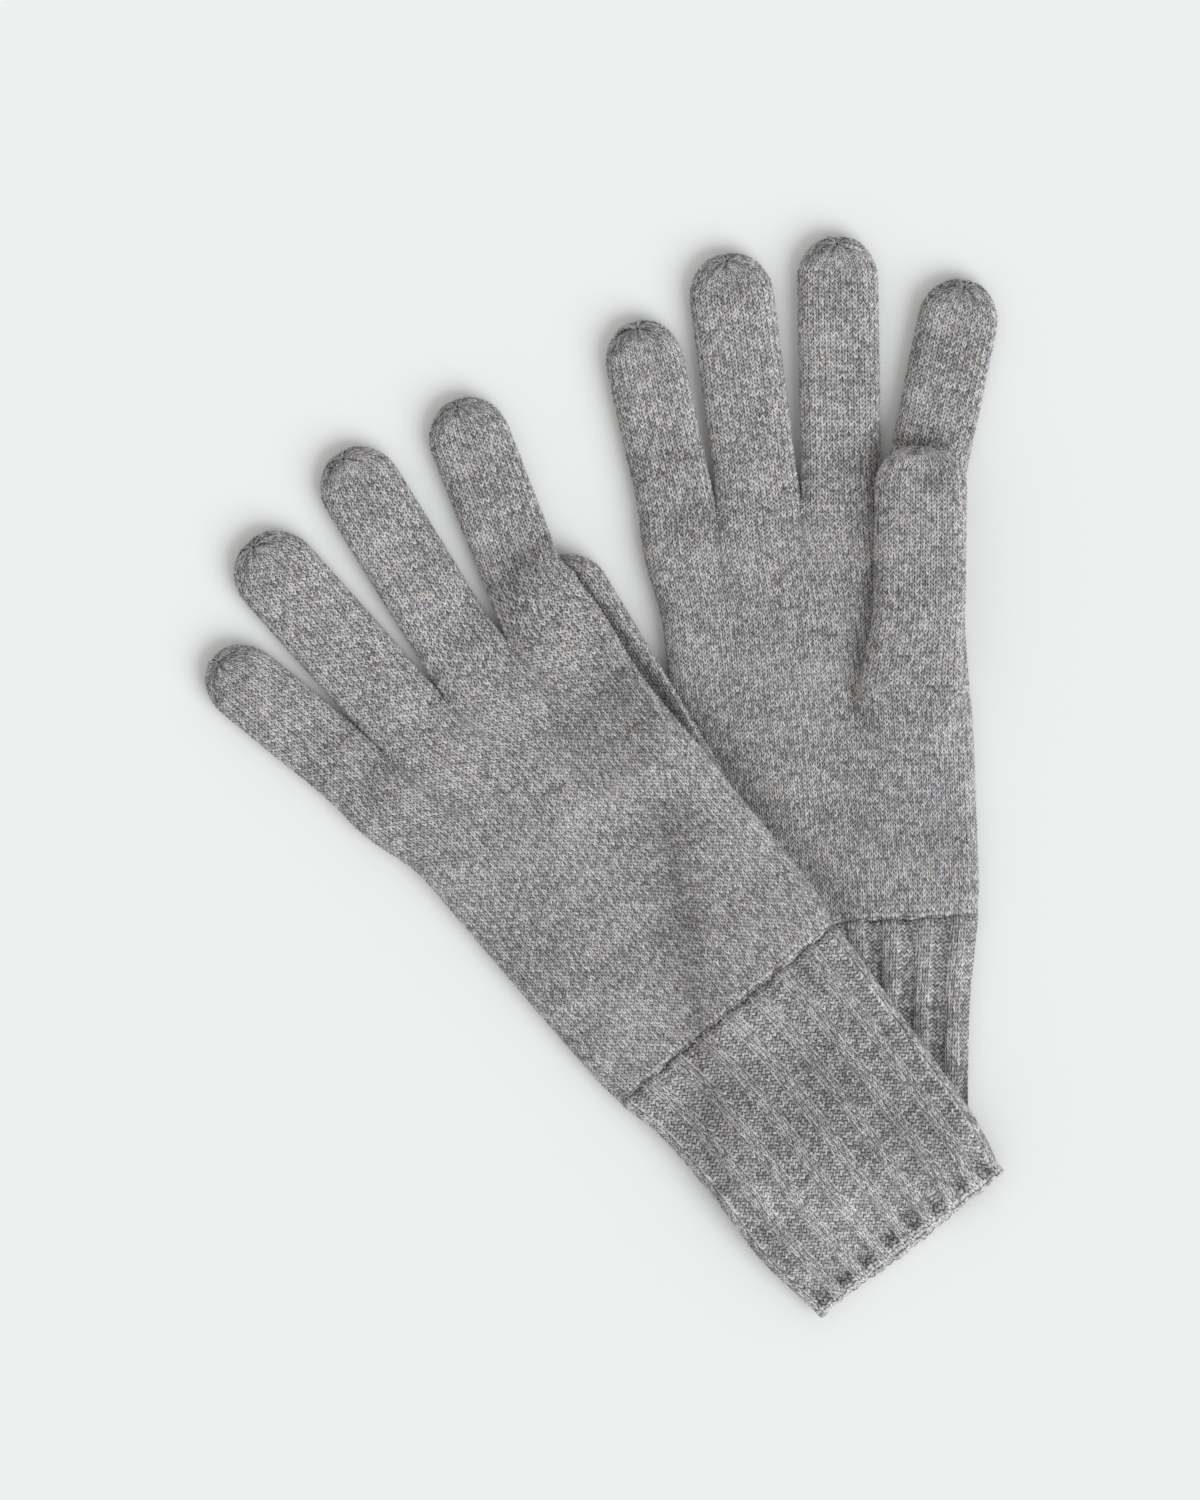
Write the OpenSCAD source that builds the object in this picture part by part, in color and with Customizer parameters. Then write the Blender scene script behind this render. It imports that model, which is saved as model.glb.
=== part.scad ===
// A pair of knitted gloves lying one across the other, all sizes in millimetres.
// The rear glove (right hand) lies palm up, the front glove (left hand) lies back up
// over the rear glove's palm and cuff, with its own thumb tucked under the hand.
// The surface the pair lies on is z = 0, and the origin is under the middle of the pair.

/* [Fabric] */
// Thickness of the plain knitted fabric
fabric = 1.3; // [1:0.1:1.35]
// Depth of the sunken ribs of a cuff below the raised ones
rib_depth = 0.7; // [0.3:0.1:0.9]

/* [Glove] */
// Length of the hand from the linking seam to the finger bases
hand_len = 117; // [112:1:122]
// Thickness of the empty hand as it lies
hand_t = 8; // [7.6:0.1:9]
// Thickness of an empty finger or thumb as it lies
digit_t = 7; // [6.8:0.1:7.4]
// Thickness of a ribbed cuff as it lies, over the raised ribs
cuff_t = 8.6; // [8.4:0.1:9]
// Raised ribs on one face of a cuff
ribs = 8; // [6:1:10]
// Height along the finger of the rounded tip
tip_len = 11; // [8:0.5:12]
// Width of a finger at its base, as a share of its full width
base_share = 0.9; // [0.85:0.01:0.92]
// Radius of the joining yarn at the finger gaps
yarn_r = 0.7; // [0.5:0.05:0.8]

/* [Cuffs] */
// Length of the front glove's cuff with its cast-on edge
front_cuff_len = 81; // [70:1:85]
// Length of the rear glove's cuff with its cast-on edge
rear_cuff_len = 75; // [65:1:78]
// Length of the cast-on edge along the cuff
edge_len = 2.4; // [1.5:0.1:3]
// Length of the linking seam along the glove
seam_len = 1.6; // [1:0.1:2]

/* [Lie of the pair] */
// Turn of the front glove, anticlockwise from straight up
front_turn = 40; // [38:1:42]
// Turn of the rear glove, anticlockwise from straight up
rear_turn = 3; // [2:1:4]
// Air between pieces that move against each other
air = 0.5; // [0.4:0.1:0.6]
// Width of the slope where the front glove comes down off what it lies on
slope = 20; // [18:1:24]

/* [Hidden] */
wool = "#8f8e8e";
wool_dark = "#7d7b7b";
stitch = "#b4b1ae";

// A spot is a place to build at: [origin, turn]. Its second axis points to the fingertips.
rear_spot = [[66.7, -40.3], rear_turn];
front_spot = [[35.9, -66.8], front_turn];

// A digit is [base centre in its glove, lean to the left in degrees, length, width].
rear_index = [[28.5, hand_len], -14.8, 62, 22.4];
rear_middle = [[6.2, hand_len - 1], -2.1, 75, 22.7];
rear_ring = [[-16.6, hand_len - 1], 4.5, 72, 23.6];
rear_little = [[-39.6, hand_len], 9.4, 54, 21.8];
rear_thumb = [[24.8, 64], -5.4, 68, 26.4];
front_index = [[30.9, hand_len + 3.7], -18.8, 64, 22.8];
front_middle = [[6.8, hand_len + 3], -8.5, 71.5, 23];
front_ring = [[-16, hand_len + 0.7], 1.7, 70.3, 24];
front_little = [[-36.5, hand_len - 0.3], 10.6, 53.8, 21];
front_thumb = [[30.4, 64], -9, 68, 27];

// Outlines: distance along the glove against the side edge's place across it.
rear_left = [[-75, -33.6], [-10, -38], [0, -40], [70, -44.6], [97, -45.8], [117, -49.2]];
rear_right = [[-75, 32], [-30, 34.2], [0, 39], [62, 40], [70, 38.8], [117, 39.6]];
front_left = [[-81, -35], [-56, -38.4], [-42, -36.6], [-12, -36.6], [0, -40], [28, -40.6],
              [97, -41.2], [120, -45.8]];
front_right = [[-81, 30], [-65, 34.7], [0, 39.2], [14, 41.2], [85, 41.8], [107, 43.4], [120, 45]];

rear_fingers = [rear_little, rear_ring, rear_middle, rear_index];
front_fingers = [front_little, front_ring, front_middle, front_index];

// Rounding of the flattened tubes' side edges.
side_angles = [0, 30, 60];
hand_round = 5;
digit_round = 4;
cuff_round = 4.2;

// Heights of one layer over another, and the thumbs' roots.
thumb_gap = 0.3;
hood_len = 24;
pocket_gap = 1;
lift_over = cuff_t + 0.7;
thumb_over = digit_t + 1.2;
thumb_slope = 13;

function smooth(t) = let (c = min(1, max(0, t))) c * c * (3 - 2 * c);
function mix(a, b, t) = a + (b - a) * t;

// A place in a spot's own axes, and back again.
function out(spot, p) = spot[0] + [p.x * cos(spot[1]) - p.y * sin(spot[1]),
                                   p.x * sin(spot[1]) + p.y * cos(spot[1])];
function back(spot, p) = let (d = p - spot[0])
    [d.x * cos(spot[1]) + d.y * sin(spot[1]), d.y * cos(spot[1]) - d.x * sin(spot[1])];
function digit_spot(spot, digit) = [out(spot, digit[0]), spot[1] + digit[1]];
front_thumb_spot = digit_spot(front_spot, front_thumb);

// Height of the rear glove's top under the front glove, sloping down all round it.
function drape(p) = let (
        q = back(rear_spot, p),
        past_side = max(lookup(q.y, rear_left) - q.x, q.x - lookup(q.y, rear_right)) + 3,
        past_end = -rear_cuff_len - q.y - 2)
    lift_over * (1 - smooth(norm([max(0, past_side), max(0, past_end)]) / slope));

// Extra height of the front hand over its own tucked thumb.
function thumb_lift(p) = let (q = back(front_thumb_spot, p), half = front_thumb[3] / 2)
    thumb_over * smooth((q.x + half + thumb_slope - 2) / thumb_slope)
        * smooth((q.y + hood_len) / (hood_len - 2)) * (1 - smooth((q.y - front_thumb[2] - 2) / slope));

flat_low = function (p) 0;
drape_low = function (p) drape(p);
front_low = function (p) drape(p) + thumb_lift(p);
rear_thumb_low = function (p) hand_t + thumb_gap;

// A section is a list of columns across a piece: [place across, place along, roundness, rib].
function section(left, right, round_r, flats, along) = concat(
    [for (a = side_angles) [left + round_r * (1 - cos(a)), along, sin(a), 0]],
    [for (f = flats) [mix(left + round_r, right - round_r, f), along, 1, 0]],
    [for (i = [len(side_angles) - 1 : -1 : 0])
        [right - round_r * (1 - cos(side_angles[i])), along, sin(side_angles[i]), 0]]);

// A ring of points round a section: along the underside, then back along the top.
function ring(spot, columns, thick, low) = let (
        last = len(columns) - 1,
        at = [for (c = columns) out(spot, [c[0], c[1]])],
        half = [for (c = columns) thick / 2 * c[2] - c[3]])
    concat(
        [for (i = [0 : last]) [at[i].x, at[i].y, low(at[i]) + thick / 2 - half[i]]],
        [for (i = [last - 1 : -1 : 1]) [at[i].x, at[i].y, low(at[i]) + thick / 2 + half[i]]]);

// The ring just inside the fabric.
function raised(low, by) = function (p) low(p) + by;

// A hollow closed solid between outer rings and inner rings, open at its first rings and,
// when capped, closed at its last ones.
module shell(outer, inner, capped) {
    n = len(outer[0]);
    start_in = n * len(outer);
    end_out = n * (len(outer) - 1);
    end_in = start_in + n * (len(inner) - 1);
    function next(i) = (i + 1) % n;
    function wall(base) = [for (i = [0 : n - 1]) each [
        [base + i, base + next(i), base + n + i],
        [base + next(i), base + n + next(i), base + n + i]]];
    function turned(faces) = [for (f = faces) [f[0], f[2], f[1]]];
    function rim(a, b) = [for (i = [0 : n - 1]) each [
        [a + i, a + next(i), b + i], [a + next(i), b + next(i), b + i]]];
    function cap(base) = [for (i = [1 : n - 2]) [base, base + i, base + i + 1]];
    polyhedron(
        points = concat([for (r = outer) each r], [for (r = inner) each r]),
        faces = concat(
            [for (j = [0 : len(outer) - 2]) each wall(n * j)],
            turned([for (j = [0 : len(inner) - 2]) each wall(start_in + n * j)]),
            turned(rim(0, start_in)),
            capped ? concat(cap(end_out), turned(cap(end_in))) : rim(end_out, end_in)));
}

// A solid between rings, closed at both ends.
module block(rings) {
    n = len(rings[0]);
    last = n * (len(rings) - 1);
    polyhedron(
        points = [for (r = rings) each r],
        faces = concat(
            [for (j = [0 : len(rings) - 2], i = [0 : n - 1])
                each let (a = n * j + i, b = n * j + (i + 1) % n)
                    [[a, b, a + n], [b, b + n, a + n]]],
            [for (i = [1 : n - 2]) [0, i + 1, i]],
            [for (i = [1 : n - 2]) [last, last + i, last + i + 1]]));
}

// One finger or thumb: a knitted tube from its base line to its rounded, closed tip.
function digit_half(digit, s) = digit[3] / 2 * mix(base_share, 1, smooth(2 * s / digit[2]));
function digit_ring(spot, digit, s, tip_part, inset, low) = let (
        close = sqrt(1 - tip_part * tip_part),
        half = digit_half(digit, s) * close - inset,
        thick = digit_t * mix(0.45, 1, close) - 2 * inset)
    ring(spot, section(-half, half, min(digit_round, half * 0.6), [0, 0.5, 1], s), thick,
         raised(low, inset + digit_t * 0.275 * (1 - close)));
module digit(glove_spot, digit, low) {
    spot = digit_spot(glove_spot, digit);
    straight = digit[2] - tip_len;
    steps = [0, 0.2, 0.4, 0.6, 0.8];
    tips = [0, 0.45, 0.75, 0.93, 0.985];
    shell(
        concat([for (f = steps) digit_ring(spot, digit, air / 2 + f * straight, 0, 0, low)],
               [for (f = tips) digit_ring(spot, digit, straight + f * tip_len, f, 0, low)]),
        concat([for (f = steps) digit_ring(spot, digit, air / 2 + f * straight, 0, fabric, low)],
               [for (f = [0, 0.45, 0.75])
                   digit_ring(spot, digit, straight + f * (tip_len - fabric), f, fabric, low)]),
        true);
}

// The drawn-in end loops that close a tip: a small gathered ring of yarn with its knot.
module tip_stitch(glove_spot, digit, low) {
    spot = digit_spot(glove_spot, digit);
    end = out(spot, [0, digit[2] - 0.4]);
    loop_r = 1.6;
    loop_yarn_r = 0.5;
    color(stitch)
    translate([end.x, end.y, low(end) + digit_t / 2])
    rotate([-90, 0, spot[1]]) {
        rotate_extrude($fn = 24) translate([loop_r, 0]) circle(r = loop_yarn_r, $fn = 16);
        sphere(r = 2 * loop_yarn_r, $fn = 24);
    }
}

// The hand's upper edge follows the finger base lines, one after another.
function corner(digit, side) = let (reach = side * base_share * digit[3] / 2)
    digit[0] + [reach * cos(digit[1]), reach * sin(digit[1])];
function rim_line(digits) = [for (d = digits) each [corner(d, -1), corner(d, 1)]];
function rim_places(digits) = let (last = len(digits) - 1)
    [for (k = [0 : last]) let (a = corner(digits[k], -1).x, b = corner(digits[k], 1).x)
        each [if (k > 0) a, mix(a, b, 0.35), mix(a, b, 0.65), if (k < last) b]];
function hand_ring(spot, digits, left, right, f, start, inset, low) = let (
        nominal = mix(start, hand_len, f),
        l = lookup(nominal, left) + inset,
        r = lookup(nominal, right) - inset,
        top_l = lookup(hand_len, left) + hand_round,
        top_r = lookup(hand_len, right) - hand_round,
        flats = [for (u = rim_places(digits)) (u - top_l) / (top_r - top_l)],
        line = rim_line(digits),
        columns = section(l, r, hand_round - inset, flats, 0),
        top = section(top_l - hand_round, top_r + hand_round, hand_round, flats, 0),
        placed = [for (i = [0 : len(columns) - 1])
            [columns[i][0], mix(start, lookup(top[i][0], line) - air / 2, f), columns[i][2], 0]],
        thick = mix(hand_t, digit_t, smooth((f - 0.75) / 0.25)))
    ring(spot, placed, thick - 2 * inset, raised(low, inset));
module hand_tube(spot, digits, left, right, low, steps) {
    function rings(inset) = [for (i = [0 : steps])
        hand_ring(spot, digits, left, right, i / steps, seam_len, inset, low)];
    shell(rings(0), rings(fabric), false);
}

// The root of the thumb: the palm's fabric rising into the thumb's base.
function root_ring(spot, q, half, thick, low) =
    ring(spot, section(-half, half, digit_round * min(1, thick / 9), [0, 0.5, 1], q), thick, low);
rear_thumb_spot = digit_spot(rear_spot, rear_thumb);
function root_half(digit, q) = base_share * digit[3] / 2 + 1.5 * smooth(-q / hood_len);
module rear_root(inset, ahead) {
    block([for (f = [0, 0.25, 0.5, 0.75, 1])
        let (q = mix(-hood_len + 2 * inset, -air / 2 + ahead, f),
             top = hand_t + thumb_gap + mix(-1, digit_t, smooth((q + hood_len) / (hood_len - 1))))
        root_ring(rear_thumb_spot, q, root_half(rear_thumb, q) - inset,
                  top - hand_t / 2 - inset, function (p) hand_t / 2)]);
}

// Under the front hand the root is a pocket between the hand and what it lies on. Its rings
// run from the thumb back towards the wrist, each one turned round so that it faces outwards.
module front_root() {
    function pocket_ring(q, inset) = let (
            thick = min(digit_t - pocket_gap / 2,
                        thumb_over * smooth((q + hood_len) / (hood_len - 2)) - pocket_gap),
            points = root_ring(front_thumb_spot, q, root_half(front_thumb, q) - inset,
                               thick - 2 * inset, raised(drape_low, inset)))
        [for (i = [len(points) - 1 : -1 : 0]) points[i]];
    shell([for (q = [0, -5, -10, -15]) pocket_ring(q - air / 2, 0)],
          [for (q = [0, -4, -8]) pocket_ring(q - air / 2, fabric)],
          true);
}

module rear_hand() {
    color(wool)
    difference() {
        union() {
            hand_tube(rear_spot, rear_fingers, rear_left, rear_right, flat_low, 9);
            difference() {
                rear_root(0, 0);
                block([for (q = [-hood_len - 1, 1])
                    root_ring(rear_thumb_spot, q, 20, hand_t - fabric / 2, flat_low)]);
            }
        }
        rear_root(fabric, 1);
    }
}
module front_hand() {
    color(wool) {
        hand_tube(front_spot, front_fingers, front_left, front_right, front_low, 16);
        front_root();
    }
}

// A cuff of raised and sunken ribs, four columns to a rib.
rib_columns = 4 * ribs;
function rib_drop(i) = let (k = (i + 1) % 4) k < 2 ? 0 : rib_depth;
function cuff_ring(spot, left, right, v, inset, low, ribbed) = let (
        l = lookup(v, left) + inset,
        r = lookup(v, right) - inset,
        plain = section(l, r, cuff_round - inset, [for (i = [0 : rib_columns]) i / rib_columns], v),
        first = len(side_angles))
    ring(spot, [for (i = [0 : len(plain) - 1])
            let (c = plain[i], on_face = i >= first && i <= first + rib_columns)
            [c[0], c[1], c[2], ribbed && on_face ? rib_drop(i - first) : 0]],
        cuff_t - 2 * inset, raised(low, inset));
module cuff_tube(spot, left, right, from, to, low, steps, ribbed) {
    function rings(inset, ribbed) = [for (i = [0 : steps])
        cuff_ring(spot, left, right, mix(from, to, i / steps), inset, low, ribbed)];
    shell(rings(0, ribbed), rings(fabric + rib_depth, false), false);
}
module rear_cuff() {
    color(wool_dark)
    cuff_tube(rear_spot, rear_left, rear_right, edge_len - rear_cuff_len, -air, flat_low, 3, true);
}
module front_cuff() {
    color(wool_dark)
    cuff_tube(front_spot, front_left, front_right, edge_len - front_cuff_len, -air, drape_low, 11, true);
}
module rear_cuff_edge() {
    color(stitch)
    cuff_tube(rear_spot, rear_left, rear_right, -rear_cuff_len, edge_len - rear_cuff_len,
              flat_low, 1, false);
}
module front_cuff_edge() {
    color(stitch)
    cuff_tube(front_spot, front_left, front_right, -front_cuff_len, edge_len - front_cuff_len,
              drape_low, 1, false);
}

// The linking seam: the loop of yarn that joins the ribbed cuff to the hand.
module linking_seam(spot, left, right, low) {
    columns = 12;
    function rings(inset) = [for (v = [0, seam_len])
        ring(spot,
             section(lookup(v, left) + inset, lookup(v, right) - inset, hand_round - inset,
                     [for (i = [0 : columns]) i / columns], v),
             hand_t - 2 * inset, raised(low, inset))];
    color(stitch)
    shell(rings(0), rings(fabric), false);
}
module rear_linking_seam() linking_seam(rear_spot, rear_left, rear_right, flat_low);
module front_linking_seam() linking_seam(front_spot, front_left, front_right, drape_low);

// Joining stitches at the foot of each gap between two fingers: short upright whips of yarn.
module crotch_stitches(spot, digits, low) {
    whip_h = digit_t - 2 * yarn_r;
    color(stitch)
    for (k = [0 : len(digits) - 2]) {
        foot = (corner(digits[k], 1) + corner(digits[k + 1], -1)) / 2;
        lowest = min(corner(digits[k], 1).y, corner(digits[k + 1], -1).y);
        at = out(spot, [foot.x, lowest - air - yarn_r]);
        translate([at.x, at.y, low(at) + yarn_r + 0.2]) {
            cylinder(r = yarn_r, h = whip_h, $fn = 24);
            for (z = [0, whip_h])
                translate([0, 0, z]) sphere(r = yarn_r, $fn = 24);
        }
    }
}
module rear_crotch_stitches() crotch_stitches(rear_spot, rear_fingers, flat_low);
module front_crotch_stitches() crotch_stitches(front_spot, front_fingers, front_low);

module rear_index() { color(wool) digit(rear_spot, rear_index, flat_low); }
module rear_middle() { color(wool) digit(rear_spot, rear_middle, flat_low); }
module rear_ring() { color(wool) digit(rear_spot, rear_ring, flat_low); }
module rear_little() { color(wool) digit(rear_spot, rear_little, flat_low); }
module rear_thumb() { color(wool) digit(rear_spot, rear_thumb, rear_thumb_low); }
module front_index() { color(wool) digit(front_spot, front_index, front_low); }
module front_middle() { color(wool) digit(front_spot, front_middle, front_low); }
module front_ring() { color(wool) digit(front_spot, front_ring, front_low); }
module front_little() { color(wool) digit(front_spot, front_little, front_low); }
module front_thumb() { color(wool) digit(front_spot, front_thumb, drape_low); }

module rear_index_tip_stitch() tip_stitch(rear_spot, rear_index, flat_low);
module rear_middle_tip_stitch() tip_stitch(rear_spot, rear_middle, flat_low);
module rear_ring_tip_stitch() tip_stitch(rear_spot, rear_ring, flat_low);
module rear_little_tip_stitch() tip_stitch(rear_spot, rear_little, flat_low);
module rear_thumb_tip_stitch() tip_stitch(rear_spot, rear_thumb, rear_thumb_low);
module front_index_tip_stitch() tip_stitch(front_spot, front_index, front_low);
module front_middle_tip_stitch() tip_stitch(front_spot, front_middle, front_low);
module front_ring_tip_stitch() tip_stitch(front_spot, front_ring, front_low);
module front_little_tip_stitch() tip_stitch(front_spot, front_little, front_low);
module front_thumb_tip_stitch() tip_stitch(front_spot, front_thumb, drape_low);

rear_hand();
rear_index();
rear_middle();
rear_ring();
rear_little();
rear_thumb();
rear_cuff();
rear_linking_seam();
rear_cuff_edge();
rear_crotch_stitches();
rear_index_tip_stitch();
rear_middle_tip_stitch();
rear_ring_tip_stitch();
rear_little_tip_stitch();
rear_thumb_tip_stitch();
front_hand();
front_index();
front_middle();
front_ring();
front_little();
front_thumb();
front_cuff();
front_linking_seam();
front_cuff_edge();
front_crotch_stitches();
front_index_tip_stitch();
front_middle_tip_stitch();
front_ring_tip_stitch();
front_little_tip_stitch();
front_thumb_tip_stitch();
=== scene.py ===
"""Looks for a pair of knitted gloves: every visible surface is a stitch-shaped mesh over the CAD frame.

Lengths are in millimetres until a mesh is made. Each glove has a spot: an origin on its linking
seam, and axes across (to the right, seen from above) and along (towards the fingertips). A grid is
an array of points [row, column]: rows are steps along a knitted tube, columns are steps round it.
"""

import math

import bpy
import numpy as np
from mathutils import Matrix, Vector
from mathutils.bvhtree import BVHTree


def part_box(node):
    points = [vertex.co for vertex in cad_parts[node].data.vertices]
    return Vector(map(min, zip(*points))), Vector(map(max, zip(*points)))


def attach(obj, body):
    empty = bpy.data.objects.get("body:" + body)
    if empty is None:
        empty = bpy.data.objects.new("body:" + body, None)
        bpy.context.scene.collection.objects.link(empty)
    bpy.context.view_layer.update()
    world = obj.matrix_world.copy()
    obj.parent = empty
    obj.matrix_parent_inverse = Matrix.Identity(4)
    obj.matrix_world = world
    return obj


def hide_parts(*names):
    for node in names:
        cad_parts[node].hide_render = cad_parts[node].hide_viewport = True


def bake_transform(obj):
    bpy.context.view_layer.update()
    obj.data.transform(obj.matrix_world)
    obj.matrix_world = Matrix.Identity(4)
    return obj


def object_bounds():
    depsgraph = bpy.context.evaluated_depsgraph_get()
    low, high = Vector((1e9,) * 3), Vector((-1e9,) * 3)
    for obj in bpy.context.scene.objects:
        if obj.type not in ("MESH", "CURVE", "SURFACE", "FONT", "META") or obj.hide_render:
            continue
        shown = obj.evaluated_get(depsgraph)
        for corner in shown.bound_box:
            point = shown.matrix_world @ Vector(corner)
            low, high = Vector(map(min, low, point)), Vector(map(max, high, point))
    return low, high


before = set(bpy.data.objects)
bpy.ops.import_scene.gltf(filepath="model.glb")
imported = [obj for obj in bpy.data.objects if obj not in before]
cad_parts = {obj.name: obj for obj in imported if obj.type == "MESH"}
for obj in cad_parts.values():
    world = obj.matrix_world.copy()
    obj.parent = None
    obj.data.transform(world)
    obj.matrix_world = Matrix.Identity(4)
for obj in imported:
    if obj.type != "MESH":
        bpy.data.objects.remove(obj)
cad_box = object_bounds()

MM = 0.001
FINGERS = ("little", "ring", "middle", "index")

# The knit. A wale is a column of stitches, and a course is a row of them.
COURSE = 1.18
ROWS = 3  # mesh rows to a course
COLUMNS = 4  # mesh columns to a wale
FINGER_WALES = 16  # on one side of a finger
THUMB_WALES = 19
RIB_WALES = 3  # in a raised rib, and as many in a sunken one
RIB_REPEATS = 8.5  # on one side of a cuff
LEG_RISE = 1.0  # courses that a leg of a stitch climbs
RIB_LEG_RISE = 1.3
RELIEF = 0.42
GROOVE = 0.28  # share of the relief that runs on between courses
RIB_GROOVE = 0.4
PURL_WAVE = 0.34
PURL_RELIEF = 0.44
RIB_DEPTH = 0.95
SIDE_FADE = 6  # mesh columns over which the relief of a cuff fades at its sides

# The lie of the fabric: thicknesses of the flattened tubes, and how their edges are rounded.
HAND_THICK = 7.3
FINGER_THICK = 6.2
THUMB_THICK = 6.4
CUFF_THICK = 7.4
CUFF_WALL = 2.4
CUFF_TUCK = 2.4  # length of the cuff under the hand
MOUTH_SAG = 3.2
OUTLINE_IN = 0.35  # the stitches reach out again to the CAD outline
EDGE_SOFTEN = 5
SEAM_IN = 0.75
SEAM_IN_FADE = 9
SEAM_DROP = 1.5
SEAM_DROP_FADE = 14
HAND_EDGE = 5.0
FINGER_EDGE = 4.6
TIP_REACH = 11.5  # length of the rounded end of a digit
POLE_TURN = math.radians(23)
CLOSED = 0.02  # share of its width that a tip keeps where it is drawn in
CROTCH_FADE = 6.0
CROTCH_SPREAD = 0.9
INDEX_SPREAD = (4.6, 3.4)
PRESS = 3.8
PRESS_WIDTH = 4.2
FLOOR_AIR = 0.75
THUMB_FLARE = 4.2
THUMB_TURN = 1.5
THUMB_NARROW = 0.3
THUMB_AIR = 0.7

# Wales added to the uv of a digit's lower side, and of a thumb, so that their heather differs.
UNDERSIDE = 200
THUMB_START = 300

# The joining stitches between fingers.
YARN = 0.36
STITCHES = 5
STITCH_REACH = 3


def smooth(t):
    """An eased step from 0 to 1, as t goes from 0 to 1."""
    c = np.clip(t, 0, 1)
    return c * c * (3 - 2 * c)


def mix(a, b, t):
    """a where t is 0, and b where t is 1."""
    return a + (b - a) * t


# --- What the frame says ---


def cad_points(node):
    """The vertices of a CAD node, in millimetres."""
    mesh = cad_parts[node].data
    co = np.zeros(len(mesh.vertices) * 3)
    mesh.vertices.foreach_get("co", co)
    return co.reshape(-1, 3) / MM


def cad_edges(node):
    """The pairs of vertex numbers that the edges of a CAD node join."""
    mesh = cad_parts[node].data
    ends = np.zeros(len(mesh.edges) * 2, int)
    mesh.edges.foreach_get("vertices", ends)
    return ends.reshape(-1, 2)


class Spot:
    """Axes in plan: across is to the right, along is towards the fingertips."""

    def __init__(self, origin, along):
        self.origin = np.array(origin, float)
        self.along = np.array(along, float) / np.linalg.norm(along)
        self.across = np.array([self.along[1], -self.along[0]])

    def turn_left(self, degrees):
        """Turns the axes to the left, seen from above."""
        turn = math.radians(degrees)
        self.along = self.along * math.cos(turn) - self.across * math.sin(turn)
        self.across = np.array([self.along[1], -self.along[0]])

    def local(self, points):
        """How far points are across the spot, and along it."""
        d = np.asarray(points)[..., :2] - self.origin
        return d @ self.across, d @ self.along

    def world(self, u, v):
        """The points in plan that are u across the spot and v along it."""
        u, v = np.broadcast_arrays(u, v)
        return self.origin + u[..., None] * self.across + v[..., None] * self.along


def long_axis(points):
    """The direction in plan that the points are most spread in."""
    flat = points[:, :2] - points[:, :2].mean(0)
    return np.linalg.svd(flat, full_matrices=False)[2][0]


def glove_spot(glove):
    """The spot at the middle of a glove's linking seam."""
    seam = cad_points(glove + "_linking_seam")
    across = long_axis(seam)
    across = across if across[0] > 0 else -across
    spot = Spot(seam[0, :2], (-across[1], across[0]))
    u, v = spot.local(seam)
    return Spot(spot.world((u.min() + u.max()) / 2, (v.min() + v.max()) / 2), spot.along)


def digit_spot(node, hand):
    """The spot at the middle of a digit's base line, with the digit's length and half widths."""
    points = cad_points(node)
    along = long_axis(points)
    along = along if along @ hand.along > 0 else -along
    spot = Spot(points[0, :2], along)
    u, v = spot.local(points)
    spot.origin = spot.world((u.min() + u.max()) / 2, v.min())
    spot.length = v.max() - v.min()
    spot.half = (u.max() - u.min()) / 2
    left, right = across_at(node, spot, 0.5)
    spot.base_half = (right - left) / 2
    return spot


def across_at(node, spot, v):
    """Where a line across the spot at v enters and leaves a CAD node."""
    pu, pv = spot.local(cad_points(node))
    ends = cad_edges(node)
    a, b = pv[ends[:, 0]], pv[ends[:, 1]]
    cut = (a - v) * (b - v) <= 0
    cut &= np.abs(a - b) > 1e-6
    t = (v - a[cut]) / (b[cut] - a[cut])
    u = mix(pu[ends[cut, 0]], pu[ends[cut, 1]], t)
    return u.min(), u.max()


def blur(values, spread, axis=0):
    """Softens samples that are 1 apart, keeping the ends where they are."""
    reach = int(3 * spread) + 1
    weights = np.exp(-0.5 * (np.arange(-reach, reach + 1) / spread) ** 2)
    weights /= weights.sum()
    pad = [(reach, reach) if k == axis else (0, 0) for k in range(values.ndim)]
    padded = np.pad(values, pad, mode="reflect", reflect_type="odd" if values.ndim == 1 else "even")
    return np.apply_along_axis(lambda line: np.convolve(line, weights, "valid"), axis, padded)


def side_edges(node, spot, low, high):
    """The left and right edges of a flat-lying tube as functions of the place along it."""
    at = np.arange(math.ceil(low), math.floor(high) + 1.0)
    ends = np.array([across_at(node, spot, v) for v in at])
    left, right = blur(ends[:, 0], EDGE_SOFTEN), blur(ends[:, 1], EDGE_SOFTEN)
    return lambda v: (np.interp(v, at, left), np.interp(v, at, right))


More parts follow.
